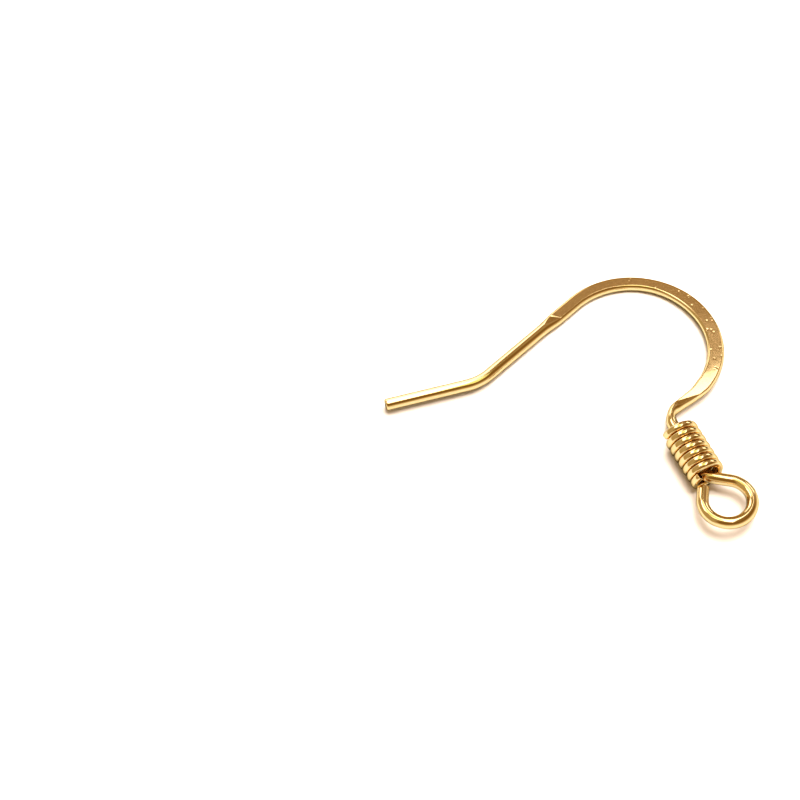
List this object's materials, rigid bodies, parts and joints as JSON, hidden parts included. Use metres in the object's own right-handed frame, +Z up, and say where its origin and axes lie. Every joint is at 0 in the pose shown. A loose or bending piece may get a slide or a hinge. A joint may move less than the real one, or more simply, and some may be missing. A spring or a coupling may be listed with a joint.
{
  "type": "ear wire",
  "caption": "Fish-hook ear wire of round gold-plated wire, pressed flat over the crown, with a loose wound coil above a closed eye.",
  "frame": {"origin": "middle of the bounding box at its bottom, on the surface that the ear wire lies on", "axes": "+X from the tip of the tail towards the eye, +Y from the eye towards the crown, +Z up from the surface"},
  "size_m": [0.0208, 0.017, 0.0021],
  "materials": {
    "gold": "polished gold plate"
  },
  "bodies": {
    "root": {"ear_hook": "gold", "coil": "gold"}
  },
  "joints": []
}
